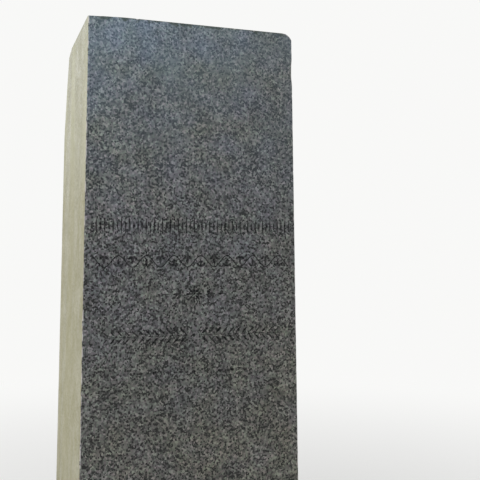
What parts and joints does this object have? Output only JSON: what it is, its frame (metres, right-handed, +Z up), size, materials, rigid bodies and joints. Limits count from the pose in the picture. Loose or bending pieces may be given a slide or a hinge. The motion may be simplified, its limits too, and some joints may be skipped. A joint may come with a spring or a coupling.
{
  "type": "pillar tombstone",
  "caption": "Plain granite pillar gravestone, tapering a little on all sides, with worn top corners, on a plinth and a rock-faced footing",
  "frame": {"origin": "on the ground, under the middle of the footing slab", "axes": "+Z up, -Y out of the pillar's front, +X to the right as seen from the front"},
  "size_m": [0.878, 0.838, 1.742],
  "materials": {
    "polished_granite": "polished grey granite, weathered",
    "hammered_granite": "fine hammered grey granite",
    "rock_faced_granite": "rock-faced and hammered grey granite",
    "mortar": "lime and cement mortar, rough"
  },
  "bodies": {
    "root": {"pillar": "polished_granite", "pillar_bed": "mortar", "plinth": "hammered_granite", "plinth_bed": "mortar", "footing_slab": "rock_faced_granite"}
  },
  "joints": []
}
